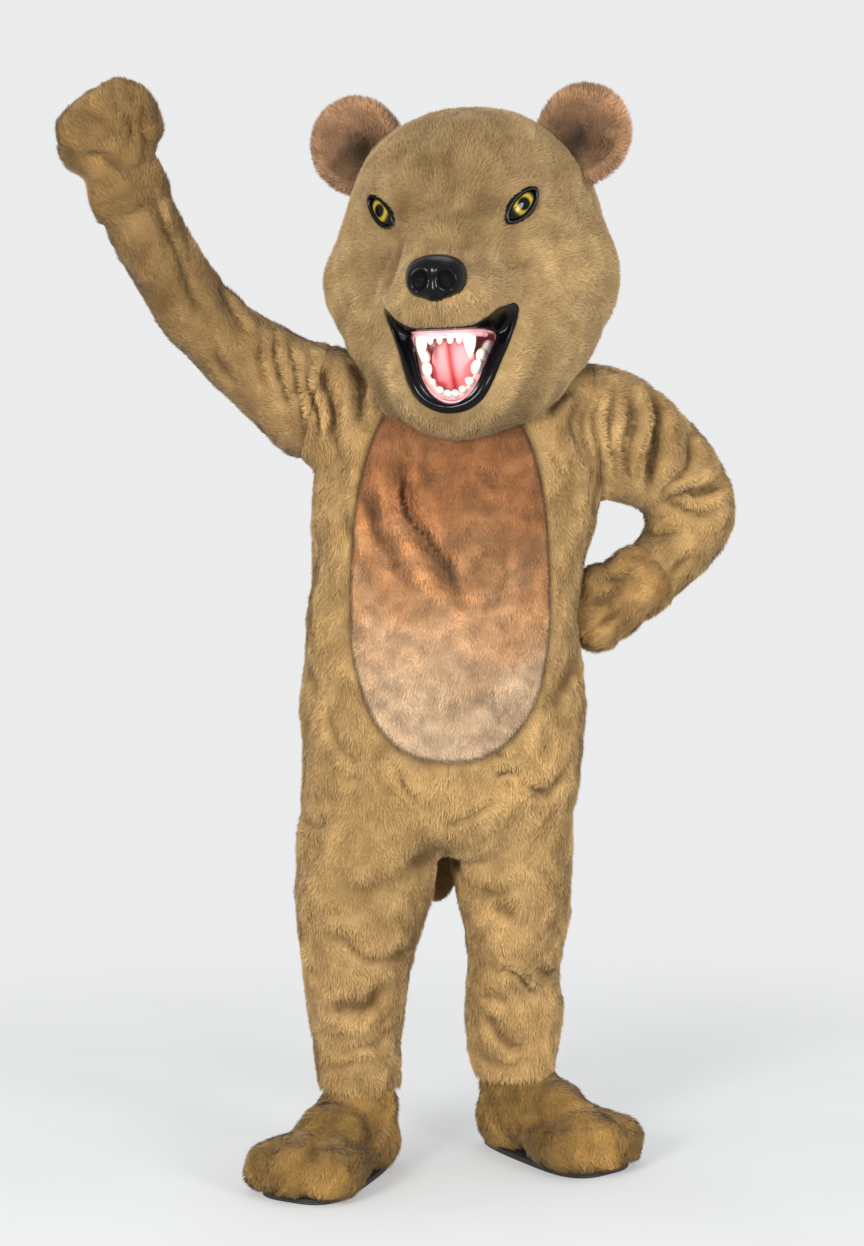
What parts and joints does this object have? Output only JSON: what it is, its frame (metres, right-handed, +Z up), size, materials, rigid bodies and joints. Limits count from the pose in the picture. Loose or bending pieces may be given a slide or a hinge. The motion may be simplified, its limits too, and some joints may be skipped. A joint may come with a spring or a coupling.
{
  "type": "bear mascot costume, worn full-body fur bodysuit with head, mitts and boots",
  "caption": "Full-body fake-fur bear costume in its worn pose: hollow bodysuit with a set-in belly, big open-mouthed bear head, paw mitts and soft boots.",
  "frame": {"origin": "where the wearer's neck and shoulders carry the costume: the base of the neck, 1.4 m above the floor", "axes": "+Z up, -Y is the way the chest faces, -X is the wearer's right side"},
  "size_m": [1.1433, 0.5652, 1.8543],
  "materials": {
    "fur": "golden tan long-pile fake fur, matt",
    "short_fur": "the same tan in short smooth pile, airbrushed darker round the eyes, matt",
    "dark_fur": "darker brown long-pile fake fur, matt",
    "belly_fur": "fake fur that fades from reddish brown at the chest to pinkish cream at the bottom, matt",
    "ear_fur": "brownish-pink fake fur with a dark centre, matt",
    "black_gloss": "glossy black moulded plastic",
    "mouth_pink": "wet-looking pink painted rubber",
    "tongue_pink": "wet-looking pink painted rubber with a darker groove",
    "tooth": "ivory white, glossy",
    "eye_glass": "amber yellow with a black pupil under a clear gloss",
    "sole_rubber": "black rubber, satin",
    "zip_tape": "dark brown zip tape and coil",
    "zip_metal": "plain metal, satin"
  },
  "bodies": {
    "costume": {"front_right": "fur", "front_left": "fur", "belly": "belly_fur", "back_right": "fur", "back_left": "fur", "sleeve_right": "fur", "sleeve_left": "fur", "tail": "dark_fur", "zip": "zip_tape", "zip_slider": "zip_metal", "head_right": "short_fur", "head_left": "short_fur", "muzzle": "short_fur", "jaw": "short_fur", "lip": "black_gloss", "mouth_lining": "mouth_pink", "upper_gum": "mouth_pink", "upper_teeth": "tooth", "lower_gum": "mouth_pink", "lower_teeth": "tooth", "tongue": "tongue_pink", "nose": "black_gloss", "eye_rim_right": "black_gloss", "eye_right": "eye_glass", "ear_right": "ear_fur", "inner_ear_right": "ear_fur", "eye_rim_left": "black_gloss", "eye_left": "eye_glass", "ear_left": "ear_fur", "inner_ear_left": "ear_fur", "paw_right": "fur", "paw_left": "fur", "boot_right": "fur", "sole_right": "sole_rubber", "boot_left": "fur", "sole_left": "sole_rubber"},
    "zip_pull": {"zip_pull": "zip_metal"}
  },
  "joints": [
    {"name": "zip_pull_hinge", "type": "hinge", "parent": "costume", "child": "zip_pull", "pos_m": [0.002, 0.12653, -0.04166], "axis": [1, 0, 0], "range_deg": [0, 150]}
  ]
}
